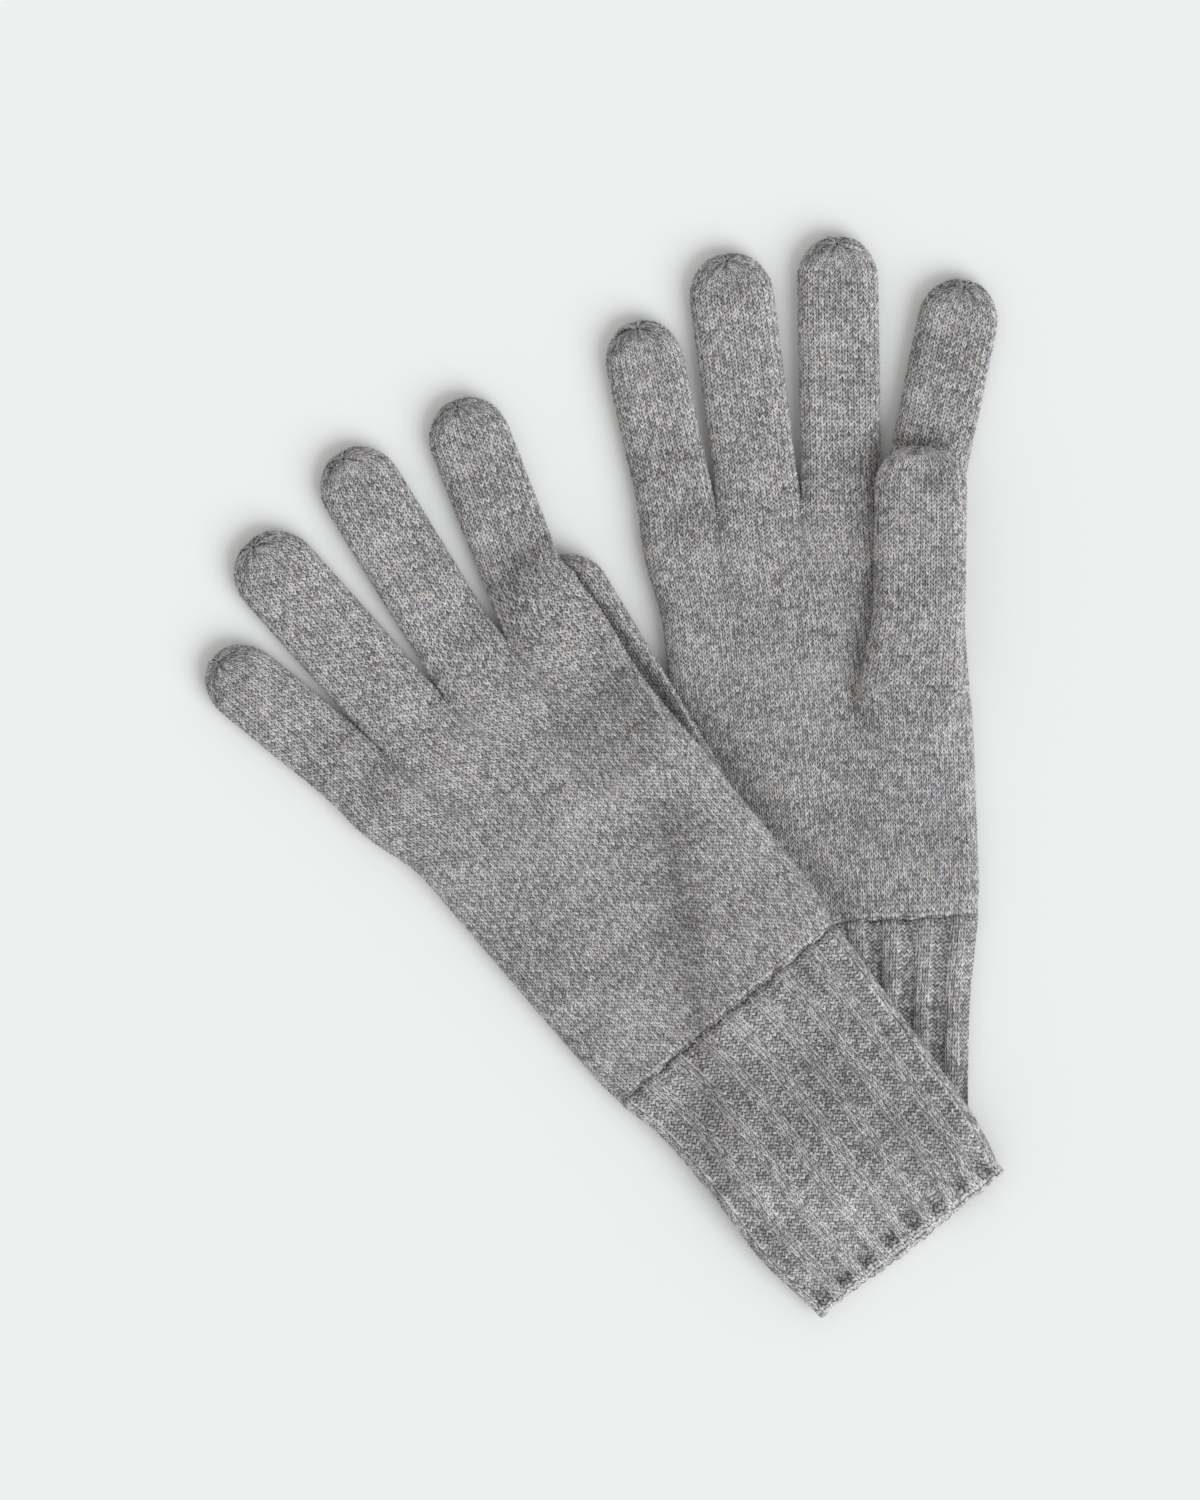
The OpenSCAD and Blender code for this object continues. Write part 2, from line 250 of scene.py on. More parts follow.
class Cover:
    """Height of the top of some CAD nodes, spread and softened as cloth lying on them would be."""

    STEP = 1.5
    MARGIN = 30
    REACH = 5.0
    SOFTEN = 4.0
    AIR = 0.4
    ABOVE = 200

    def __init__(self, nodes):
        self.low = np.array(cad_box[0])[:2] / MM - self.MARGIN
        high = np.array(cad_box[1])[:2] / MM + self.MARGIN
        self.xs = np.arange(self.low[0], high[0], self.STEP)
        self.ys = np.arange(self.low[1], high[1], self.STEP)
        grid = np.zeros((len(self.xs), len(self.ys)))
        for node in nodes:
            self.raise_to(node, grid)
        steps = int(self.REACH / self.STEP)
        spread = grid.copy()
        for di in range(-steps, steps + 1):
            for dj in range(-steps, steps + 1):
                if di * di + dj * dj <= (self.REACH / self.STEP) ** 2:
                    spread = np.maximum(spread, np.roll(grid, (di, dj), (0, 1)))
        spread = np.where(spread > 0, spread + self.AIR, 0)
        spread = blur(spread, self.SOFTEN / self.STEP, 0)
        self.grid = blur(spread, self.SOFTEN / self.STEP, 1)

    def raise_to(self, node, grid):
        """Raises the grid to the top of one CAD node, where the node is."""
        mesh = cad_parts[node].data
        tree = BVHTree.FromPolygons(
            [v.co / MM for v in mesh.vertices], [tuple(p.vertices) for p in mesh.polygons]
        )
        low, high = (np.array(c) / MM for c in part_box(node))
        for i in np.nonzero((self.xs >= low[0]) & (self.xs <= high[0]))[0]:
            for j in np.nonzero((self.ys >= low[1]) & (self.ys <= high[1]))[0]:
                above = Vector((self.xs[i], self.ys[j], self.ABOVE))
                hit = tree.ray_cast(above, Vector((0, 0, -1)))[0]
                if hit is not None:
                    grid[i, j] = max(grid[i, j], hit.z)

    def __call__(self, xy):
        at = (xy - self.low) / self.STEP
        top = np.array(self.grid.shape) - 2
        cell = np.clip(np.floor(at).astype(int), 0, top)
        f = np.clip(at - cell, 0, 1)
        i, j = cell[..., 0], cell[..., 1]
        a = mix(self.grid[i, j], self.grid[i + 1, j], f[..., 0])
        b = mix(self.grid[i, j + 1], self.grid[i + 1, j + 1], f[..., 0])
        return mix(a, b, f[..., 1])


def floor_height(xy):
    """The level the fabric's middle line rests at, so that its stitches just touch the floor."""
    return np.full(xy.shape[:-1], FLOOR_AIR)


def front_right_edge():
    """The front glove's spot, and how far across it the glove's right side edge is."""
    spot = glove_spot("front")
    hand = side_edges("front_hand", spot, 3, 110)
    cuff = side_edges("front_cuff", spot, -76, -3)
    return spot, lambda v: np.where(v > 0, hand(v)[1], cuff(v)[1])


FRONT_SPOT, FRONT_RIGHT = front_right_edge()


def near_front_edge(xy, shift, width):
    """1 at a shift to the left of the front glove's right side edge, fading over the width."""
    u, v = FRONT_SPOT.local(xy)
    return np.exp(-(((u - FRONT_RIGHT(v) + shift) / width) ** 2) / 2)


def pressed(xy):
    """How far the front glove's side edge has sunk into the rear glove under it."""
    return PRESS * near_front_edge(xy, 0.0, PRESS_WIDTH)


def ripple(xy, size, seed):
    """A soft uneven surface, from about -1 to 1: a few crossing waves."""
    rng = np.random.default_rng(seed)
    total = np.zeros(xy.shape[:-1])
    for _ in range(7):
        turn = rng.uniform(0, 2 * math.pi)
        phase = rng.uniform(0, 2 * math.pi)
        scale = rng.uniform(0.7, 1.5)
        way = np.array([math.cos(turn), math.sin(turn)]) / (size * scale)
        total += np.sin(2 * math.pi * (xy @ way) + phase)
    return total / 4


# --- Knitted tubes ---


def half_round(width, height, edge, count):
    """Points equally spaced along the upper half of a flattened tube: (place across, roundness)."""
    edge = min(edge, width * 0.48)
    turn = np.linspace(0, math.pi / 2, 40)
    side = edge * (1 - np.cos(turn))
    x = np.concatenate([side, width - side[::-1]])
    r = np.concatenate([np.sin(turn), np.sin(turn)[::-1]])
    run = np.concatenate([[0], np.cumsum(np.hypot(np.diff(x), np.diff(r) * height / 2))])
    at = np.linspace(0, run[-1], count + 1)
    return np.interp(at, run, x), np.interp(at, run, r)


def normals(grid):
    """Unit normals of a grid, pointing to the side that columns turn from rows."""
    along = np.gradient(grid, axis=0)
    across = np.gradient(grid, axis=1)
    n = np.cross(across, along)
    return n / np.maximum(np.linalg.norm(n, axis=-1, keepdims=True), 1e-9)


def slide_rows(grid, rows_up):
    """Each column of the grid slid along its own line by a number of rows."""
    rows = grid.shape[0]
    free = smooth(np.arange(rows) / (2.5 * ROWS))[:, None]
    at = np.clip(np.arange(rows)[:, None] + free * rows_up[None, :], 0, rows - 1)
    low = np.minimum(np.floor(at).astype(int), rows - 2)
    t = (at - low)[..., None]
    cols = np.arange(grid.shape[1])[None, :]
    return mix(grid[low, cols], grid[low + 1, cols], t)


def from_wale_middle(columns):
    """How far each mesh column is from the middle of its wale, from 0 to half a wale."""
    return np.abs((np.arange(columns) % COLUMNS) / COLUMNS - 0.5)


def leg_bulge(rows):
    """How far each mesh row stands out with its course, from 0 to 1."""
    course = (np.arange(rows) % ROWS) / ROWS
    return ((0.5 + 0.5 * np.cos(2 * math.pi * course)) ** 0.8)[:, None]


def knit(grid, side, amount):
    """Plain knit over a grid: each wale is two rows of slanting legs that meet towards the tip."""
    rows, columns = grid.shape[:2]
    off_centre = from_wale_middle(columns)
    slid = slide_rows(grid, LEG_RISE * ROWS * (1 - 2 * off_centre))
    leg_across = np.sin(2 * math.pi * off_centre)
    relief = RELIEF * leg_bulge(rows) * leg_across + GROOVE * RELIEF * leg_across
    relief = relief * amount
    return slid + side * relief[..., None] * normals(slid)


def rib_wave(index):
    """A wave over the columns of a cuff: up on the raised ribs, and down in the sunken ones."""
    place = index / COLUMNS / (2 * RIB_WALES)
    return np.sin(2 * math.pi * place)


def rib_shape(index):
    """For columns of a cuff: 1 on a raised rib and 0 in a sunken one, with soft sides."""
    return smooth(0.5 + 0.95 * rib_wave(index))


def rib_swell(index):
    """The rounded rise of the raised ribs over the sunken ones."""
    wave = rib_wave(index)
    return mix(-1.0, 0.0, smooth(0.5 + wave)) + 0.25 * np.maximum(wave, 0)


def rib_depth(courses):
    """How deep the ribs are: hardly at the mouth, deepest a little above it, and less at the seam."""
    depth = mix(0.1, 1.9, smooth((courses - 0.9) / 2.4)) - 0.8 * smooth((courses - 3.5) / 9)
    return (depth - 0.55 * smooth((courses - courses[-1] + 9) / 7))[:, None]


def knit_ribs(grid, side, index):
    """Ribbed knit over a grid: plain wales on the raised ribs, and purl bumps in the sunken ones."""
    rows, columns = grid.shape[:2]
    rib, off_centre = rib_shape(index), from_wale_middle(columns)
    purl_wave = PURL_WAVE * np.cos(2 * math.pi * off_centre)
    slid = slide_rows(grid, ROWS * mix(purl_wave, RIB_LEG_RISE * (1 - 2 * off_centre), rib))
    leg = leg_bulge(rows)
    plain = RELIEF * (leg + RIB_GROOVE) * np.sin(2 * math.pi * off_centre)
    relief = mix(PURL_RELIEF * leg, plain, rib)
    relief = relief + RIB_DEPTH * rib_swell(index) * rib_depth(np.arange(rows) / ROWS)
    column = np.arange(columns)
    sides = smooth(np.minimum(column, columns - 1 - column) / SIDE_FADE)
    return slid + side * (relief * sides)[..., None] * normals(slid)


def new_piece(name, points, quads, uvs):
    """An object with one smooth mesh of quads, whose uv layer counts wales and courses."""
    mesh = bpy.data.meshes.new(name)
    mesh.vertices.add(len(points))
    mesh.vertices.foreach_set("co", (points * MM).astype(np.float32).ravel())
    mesh.loops.add(quads.size)
    mesh.loops.foreach_set("vertex_index", quads.astype(np.int32).ravel())
    mesh.polygons.add(len(quads))
    mesh.polygons.foreach_set("loop_start", np.arange(0, quads.size, 4, dtype=np.int32))
    layer = mesh.uv_layers.new(name="knit")
    layer.data.foreach_set("uv", uvs.astype(np.float32).ravel())
    mesh.update(calc_edges=True)
    mesh.validate()
    mesh.shade_smooth()
    piece = bpy.data.objects.new(name, mesh)
    bpy.context.scene.collection.objects.link(piece)
    return piece


class Patches:
    """Grids gathered into one mesh, welded where their points agree."""

    WELD = 0.002

    def __init__(self):
        self.points, self.quads, self.uvs, self.count = [], [], [], 0

    def add(self, grid, flip=False, uv_start=(0.0, 0.0), uv_step=(1.0 / COLUMNS, 1.0 / ROWS)):
        """Adds one grid. Its uv starts at uv_start, and steps on with each column and row."""
        rows, columns = grid.shape[:2]
        index = self.count + np.arange(rows * columns).reshape(rows, columns)
        a, b = index[:-1, :-1], index[:-1, 1:]
        c, d = index[1:, 1:], index[1:, :-1]
        quad = np.stack([a, d, c, b] if flip else [a, b, c, d], -1).reshape(-1, 4)
        u = uv_start[0] + np.arange(columns) * uv_step[0]
        v = uv_start[1] + np.arange(rows) * uv_step[1]
        flat = np.stack(np.broadcast_arrays(u[None, :], v[:, None]), -1).reshape(-1, 2)
        self.points.append(grid.reshape(-1, 3))
        self.quads.append(quad)
        self.uvs.append(flat[quad - self.count].reshape(-1, 2))
        self.count += rows * columns

    def piece(self, name):
        """The object that all the grids make."""
        points, quads, uvs = (np.concatenate(part) for part in (self.points, self.quads, self.uvs))
        keys = np.round(points / self.WELD).astype(np.int64)
        _, first, same = np.unique(keys, axis=0, return_index=True, return_inverse=True)
        quads = same.reshape(-1)[quads]
        return new_piece(name, points[first], quads, uvs)


# --- One glove ---


class Glove:
    """One glove's spots and edges, and the levels that its cuff and its hand rest at."""

    def __init__(self, name, palm_up, rest_on, hand_on):
        self.name, self.palm_up = name, palm_up
        self.rest_on, self.hand_on = rest_on, hand_on
        self.seam_drop = SEAM_DROP if palm_up else 0.0
        self.thumb_base = HAND_THICK + THUMB_AIR if palm_up else 0.0
        self.spot = glove_spot(name)
        self.digits = {d: digit_spot(f"{name}_{d}", self.spot) for d in FINGERS + ("thumb",)}
        if palm_up:
            self.digits["thumb"].turn_left(THUMB_TURN)
            self.digits["thumb"].half -= THUMB_NARROW
        self.find_crotches()
        rim = min(v for _, v in self.crotches)
        self.hand_edges = side_edges(name + "_hand", self.spot, 2, rim - 6)

    def find_crotches(self):
        """The points between finger bases, and the two outer ones on the hand's edges."""
        corners = []
        for d in FINGERS:
            spot = self.digits[d]
            for side in (-1, 1):
                corners.append(self.spot.local(spot.world(side * spot.base_half, 0.0)))
        first, last = corners[0], corners[-1]
        pairs = zip(corners[1:-1:2], corners[2:-1:2])
        inner = [((a[0] + b[0]) / 2, min(a[1], b[1])) for a, b in pairs]
        spread, rise = (CROTCH_SPREAD, 0.0) if self.palm_up else INDEX_SPREAD
        outer = (first[0] - CROTCH_SPREAD, first[1]), (last[0] + spread, last[1] + rise)
        self.crotches = [outer[0]] + inner + [outer[1]]


def finger_strip(glove, k):
    """Smooth upper and lower grids of one finger, from its base line to its drawn-in tip."""
    spot = glove.digits[FINGERS[k]]
    left_base = glove.spot.world(*glove.crotches[k])
    right_base = glove.spot.world(*glove.crotches[k + 1])
    return tube_grids(
        spot, left_base, right_base, FINGER_THICK, FINGER_WALES * COLUMNS, glove.hand_on,
        seed=k + len(glove.name),
    )


def tube_grids(spot, left_base, right_base, thick, columns, height_of, seed, lift=0.0, settle=14.0,
               pole_turn=POLE_TURN):
    """Upper and lower smooth grids of a digit. Rows run to the tip and then in to its gathered pole.

    The cap is turned up by pole_turn, so that the pole lies on the top side, just inside the outline.
    Up to the settle length, the sides ease from the two base points to the digit's own straight ones.
    """
    straight = spot.length - TIP_REACH
    row = COURSE / ROWS
    s_rows = np.arange(0, straight, row)
    arc = np.arange(0, 1.0 + 1e-9, row / (TIP_REACH * 1.35)) * math.pi / 2
    runs = np.concatenate([s_rows, np.full(len(arc), straight)])
    turns = np.concatenate([np.zeros(len(s_rows)), arc])
    close = np.maximum(np.cos(turns), CLOSED)
    upper, lower = [], []
    for run, turn, c in zip(runs, turns, close):
        s = run + TIP_REACH * math.sin(turn)
        half = spot.half * mix(0.97, 1.0, smooth(s / (0.5 * spot.length))) - OUTLINE_IN
        middle = spot.world(0.0, s)
        left, right = spot.world(-half, s), spot.world(half, s)
        if s < settle:
            left = mix(left_base + spot.along * s, left, smooth(s / settle))
            right = mix(right_base + spot.along * s, right, smooth(s / settle))
        left, right = middle + (left - middle) * c, middle + (right - middle) * c
        width = np.linalg.norm(right - left)
        x, roundness = half_round(width, thick * c, FINGER_EDGE * mix(0.5, 1, c), columns)
        flat = left + (right - left) * (x / width)[:, None]
        tilt = pole_turn * smooth(2 * turn / math.pi)
        dimple = 1 - 0.06 * smooth((0.3 - c) / 0.28)
        for side, grid in ((1, upper), (-1, lower)):
            up = side * mix(0.06, 1.0, c) * roundness
            ahead = (math.sin(turn) * math.cos(tilt) - up * math.sin(tilt)) * dimple
            up = (up * math.cos(tilt) + math.sin(turn) * math.sin(tilt)) * dimple
            xy = flat + ((ahead - math.sin(turn)) * TIP_REACH)[:, None] * spot.along
            z = height_of(xy) + lift + thick * mix(0.62, 0.5, c) + thick / 2 * up
            if side > 0:
                z = z - tip_dent(spot, xy, seed)
            grid.append(np.column_stack([xy, z]))
    return np.array(upper), np.array(lower), close


def tip_dent(spot, xy, seed):
    """The shallow hollow where an empty finger sags behind its drawn-in tip."""
    p, q = spot.local(xy)
    aside, back = 1.6 * math.sin(2.1 * seed), 9.0 + 1.3 * math.sin(3.3 * seed)
    away = ((p - aside) / 3.4) ** 2 + ((q - spot.length + back) / 3.0) ** 2
    return (1.25 + 0.45 * math.sin(1.7 * seed)) * np.exp(-away / 2)


def hand_strips(glove):
    """Smooth upper and lower grids of the hand, one strip of wales for each finger."""
    per = FINGER_WALES * COLUMNS
    length = np.array([v for _, v in glove.crotches]).mean()
    rows = int(round(length / COURSE)) * ROWS
    f = np.arange(rows + 1) / rows
    base = []
    for row in f:
        left, right = glove.hand_edges(row * length)
        inset = OUTLINE_IN + SEAM_IN * (1 - smooth(row * length / SEAM_IN_FADE))
        x, roundness = half_round(right - left - 2 * inset, HAND_THICK, HAND_EDGE, per * len(FINGERS))
        base.append((left + inset + x, roundness))
    base = np.array(base)
    to_rim = smooth((f - 0.72) / 0.28)[:, None]
    pinch = smooth(1 - (1 - f) * length / CROTCH_FADE)[:, None]
    thick = mix(HAND_THICK, FINGER_THICK, smooth((f - 0.85) / 0.15))[:, None]
    strips = []
    for k in range(len(FINGERS)):
        (u0, v0), (u1, v1) = glove.crotches[k], glove.crotches[k + 1]
        x, rim_round = half_round(math.hypot(u1 - u0, v1 - v0), FINGER_THICK, FINGER_EDGE, per)
        share = x / x[-1]
        own = slice(per * k, per * (k + 1) + 1)
        u = mix(base[:, 0, own], mix(u0, u1, share), to_rim)
        v = f[:, None] * mix(v0, v1, share)
        roundness = mix(base[:, 1, own], rim_round, pinch)
        strips.append(laid_strip(glove, u, v, roundness, thick, (f * length)[:, None]))
    return strips, rows


def laid_strip(glove, u, v, roundness, thick, from_seam):
    """One strip of the hand laid on what is under it, with its end curled in over the cuff."""
    v = v - glove.seam_drop * (1 - smooth(from_seam / SEAM_DROP_FADE))
    curl = (1.6 + 0.5 * np.sin(u / 1.9)) * (1 - np.sqrt(np.clip(from_seam / 1.6, 0, 1)))
    wander = 0.2 * np.sin(u / 1.3) + 0.2 * np.sin(u / 0.55) + 0.3 * np.sin(u / 7.7 + 1)
    v = v + (wander + 0.45) * (1 - smooth(from_seam / 6))
    xy = glove.spot.world(u, v)
    low = glove.hand_on(xy)
    swell = 0.35 * ripple(xy, 34, 5)
    top = low + thick / 2 * (1 + roundness) - curl * roundness + swell * roundness
    bottom = low + thick / 2 * (1 - roundness) + curl * roundness
    if glove.palm_up:
        top = top + (thumb_root_rise(glove, xy) - pressed(xy)) * roundness
    return [np.concatenate([xy, z[..., None]], -1) for z in (top, bottom)]


def thumb_root_rise(glove, xy):
    """How far the palm swells up into the root of the thumb that lies on it."""
    spot = glove.digits["thumb"]
    p, q = spot.local(xy)
    half = spot.half * 0.97 + THUMB_FLARE * smooth(1 - q / 12) * (p < 0)
    rise = glove.thumb_base + THUMB_THICK - HAND_THICK
    edge = mix(5.0, 14.0, smooth(-q / 22))
    inside = np.clip((half + 0.5 - np.abs(p)) / edge, 0, 1)
    across = np.sqrt(np.maximum(0, 1 - (1 - inside) ** 2))
    across = mix(across, smooth(inside), smooth(-q / 16))
    return rise * across * smooth((q + 26) / 25) * (1 - smooth((q - 0.4) / 2.2))


def digit_name(glove, d):
    return f"{glove.name}_{d}_knit"


def build_hand_and_fingers(glove):
    """The hand, the joining stitches and the fingers, whose wales run on from those of the hand."""
    strips, rows = hand_strips(glove)
    hand, fingers, tops = Patches(), {d: Patches() for d in FINGERS}, []
    for k, d in enumerate(FINGERS):
        up, low, close = finger_strip(glove, k)
        pucker = tip_pucker(up.shape[1], close, k + len(glove.name))
        fade = np.concatenate([np.ones(rows), smooth(close / 0.5)])[:, None]
        wale = FINGER_WALES * k
        for side, hand_grid, finger_grid in zip((1, -1), strips[k], (up, low)):
            made = knit(np.concatenate([hand_grid[:-1], finger_grid]), side, fade)
            made[rows:] += side * pucker[..., None] * normals(made[rows:])
            if side > 0:
                tops.append(made)
            hand.add(made[: rows + 1], flip=side < 0, uv_start=(wale, 0))
            finger_start = (wale + UNDERSIDE * (side < 0), rows / ROWS)
            fingers[d].add(made[rows:], flip=side < 0, uv_start=finger_start)
    pieces = {
        "hand": hand.piece(f"{glove.name}_hand_knit"),
        "crotch_stitches": crotch_stitches(glove, tops, rows),
    }
    for d in FINGERS:
        pieces[d] = fingers[d].piece(digit_name(glove, d))
    return pieces


def crotch_stitches(glove, tops, rows):
    """Short slanting stitches that close the foot of each gap between two fingers."""
    stitches = Patches()
    for k in range(1, len(FINGERS)):
        for n in range(STITCHES):
            row = rows + 3 - n * (ROWS - 1)
            start = tops[k - 1][row, -1 - STITCH_REACH]
            end = tops[k][row - 2, STITCH_REACH]
            in_a_leg = (0.2 + 8 * k + n, -0.05)
            stitches.add(yarn_arch(start, end), uv_start=in_a_leg, uv_step=(0.02, 0.01))
    return stitches.piece(f"{glove.name}_crotch_whip")


def yarn_arch(start, end):
    """A short piece of yarn that arches from one point of the fabric to another, as rings of points."""
    t = np.linspace(0, 1, 9)[:, None]
    middle = mix(start, end, t) + np.array([0, 0, 1]) * (YARN * (2.2 * np.sin(math.pi * t) - 0.9))
    way = (end - start) / np.linalg.norm(end - start)
    aside = np.cross(way, [0, 0, 1])
    aside /= np.linalg.norm(aside)
    up = np.cross(aside, way)
    around = np.linspace(0, 2 * math.pi, 9)[None, :, None]
    return middle[:, None, :] + YARN * (np.cos(around) * aside + np.sin(around) * up)


def tip_pucker(columns, close, seed):
    """The uneven gathers round a drawn-in tip: folds that fade out along the finger."""
    around = np.arange(columns) / (columns - 1) * math.pi
    fold = np.cos(around * 7 + 1.3 * np.sin(around * 2 + seed) + seed)
    fold *= 0.6 + 0.4 * np.sin(around * 3 + 2 * seed)
    reach = smooth((0.86 - close) / 0.4) * smooth(close / 0.25)
    return 0.25 * fold[None, :] * reach[:, None]


def build_thumb(glove):
    """The thumb: the rear one lies on the palm, and the front one slopes out from under its hand."""
    spot = glove.digits["thumb"]
    half = spot.half * 0.95
    start, flare = (2.6, THUMB_FLARE) if glove.palm_up else (18.0, 0.0)
    root = Spot(spot.world(0.0, -start), spot.along)
    root.length, root.half = spot.length + start, spot.half
    up, low, close = tube_grids(
        root, root.world(-half - flare, 0.0), root.world(half, 0.0), THUMB_THICK,
        THUMB_WALES * COLUMNS, glove.rest_on, seed=9, lift=glove.thumb_base,
        settle=14.0 + 3 * flare, pole_turn=0.0,
    )
    run = (up[..., :2].mean(1) - root.origin) @ root.along
    if glove.palm_up:
        tuck = 1.1 * (1 - smooth(run / 4))[:, None]
        up[..., 2] -= tuck
        low[..., 2] -= tuck
    else:
        squash_under_hand(glove, up, low, mix(0.25, 1.0, smooth(run / start))[:, None])
    pucker = tip_pucker(up.shape[1], close, 2.0)
    thumb = Patches()
    for side, grid in ((1, up), (-1, low)):
        made = knit(grid, side, smooth(close / 0.5)[:, None])
        made += side * pucker[..., None] * normals(made)
        thumb.add(made, flip=side < 0, uv_start=(THUMB_START + UNDERSIDE * (side < 0), 0))
    return thumb.piece(digit_name(glove, "thumb"))


def squash_under_hand(glove, up, low, thin):
    """Thins the front thumb where its hand lies on it, and dents it along the hand's edge."""
    under = glove.rest_on(up[..., :2])
    up[..., 2] = under + (up[..., 2] - under) * thin
    low[..., 2] = under + (low[..., 2] - under) * thin
    up[..., 2] -= 0.5 * (up[..., 2] - low[..., 2]) * near_front_edge(up[..., :2], 0.4, 2.1)


def build_cuff(glove):
    """The ribbed cuff with its rolled cast-on edge, and the inside wall that shows at its mouth."""
    _, along = glove.spot.local(cad_points(glove.name + "_cuff_edge"))
    length = -along.min()
    edges = side_edges(glove.name + "_cuff", glove.spot, -length + 3, -2)
    rows = int(round((length + CUFF_TUCK) / COURSE)) * ROWS
    columns = int(RIB_REPEATS * 2 * RIB_WALES * COLUMNS)
    first = RIB_WALES * COLUMNS if glove.palm_up else 0
    cuff, inner = Patches(), Patches()
    for side, start in ((1, first), (-1, first + columns)):
        index = np.arange(columns + 1) + start
        grid, inside = [], []
        for j in range(rows + 1):
            v = mix(-length, CUFF_TUCK, j / rows)
            outer_row, inner_row = cuff_row(glove, side, edges(v), v, v + length, rib_shape(index))
            grid.append(outer_row)
            inside.append(inner_row)
        grid, inside = np.array(grid), np.array(inside)
        made = knit_ribs(grid, side, index)
        cuff.add(made, flip=side < 0, uv_start=(start / COLUMNS, 0))
        inner.add(inside[::ROWS, ::2], flip=side > 0, uv_step=(0.5, 1))
        lip = np.array([mix(made[0], inside[0], t) for t in np.linspace(0, 1, 4)])
        lip[1:3, :, :2] -= 0.35 * glove.spot.along
        cuff.add(lip, flip=side > 0, uv_start=(start / COLUMNS, -1))
    return cuff.piece(glove.name + "_cuff_knit"), inner.piece(glove.name + "_cuff_inside")


def cuff_row(glove, side, edges, v, from_mouth, rib):
    """The points across one side of a cuff, at v along it: those of the fabric and of its inside."""
    left, right = edges
    width = right - left
    x, roundness = half_round(width - 2 * OUTLINE_IN, CUFF_THICK, HAND_EDGE, len(rib) - 1)
    scallop = 0.3 * (rib - 0.5) + 0.4 * np.sin(x / 9.0 + 2 * side) + 0.2 * np.sin(x * 2.1)
    peek = np.sin(math.pi * x / x[-1]) * (side < 0)
    slant = 0.0005 * (left + x + 36) ** 2
    at_v = v + 0.6 - (scallop + peek - 0.3) * (1 - smooth(from_mouth / 9))
    at_v -= slant * (1 - smooth(from_mouth / 45))
    xy = glove.spot.world(left + OUTLINE_IN + x, at_v)
    low = glove.rest_on(xy) + 0.3
    sag = MOUTH_SAG * (1 - smooth(from_mouth / 15)) * roundness
    if glove.palm_up:
        sag = sag + pressed(xy) * roundness
    rolled = 0.8 * (1 - np.sqrt(np.clip(from_mouth / 1.2, 0, 1)))
    under = 2.0 * smooth((v + 1.8 + glove.seam_drop) / 2.0)
    half = CUFF_THICK / 2 - rolled - under
    z = low + CUFF_THICK / 2 + side * half * roundness
    if side > 0:
        flare = 0.6 * np.sin(x / 10.0 + 1) * (1 - smooth(from_mouth / 26)) * roundness
        lie = 0.4 * ripple(xy, 30, 8) * roundness * smooth(-v / 8)
        z = z + (flare + lie - sag)
    middle = low + (CUFF_THICK - sag) / 2 - 0.4
    wall = np.maximum(side * (z - middle) - CUFF_WALL * roundness, 0.1)
    inside_u = left + CUFF_WALL + x * (width - 2 * CUFF_WALL) / width
    inside_xy = glove.spot.world(inside_u, at_v + 0.3)
    return np.column_stack([xy, z]), np.column_stack([inside_xy, middle + side * wall])


# --- Materials ---


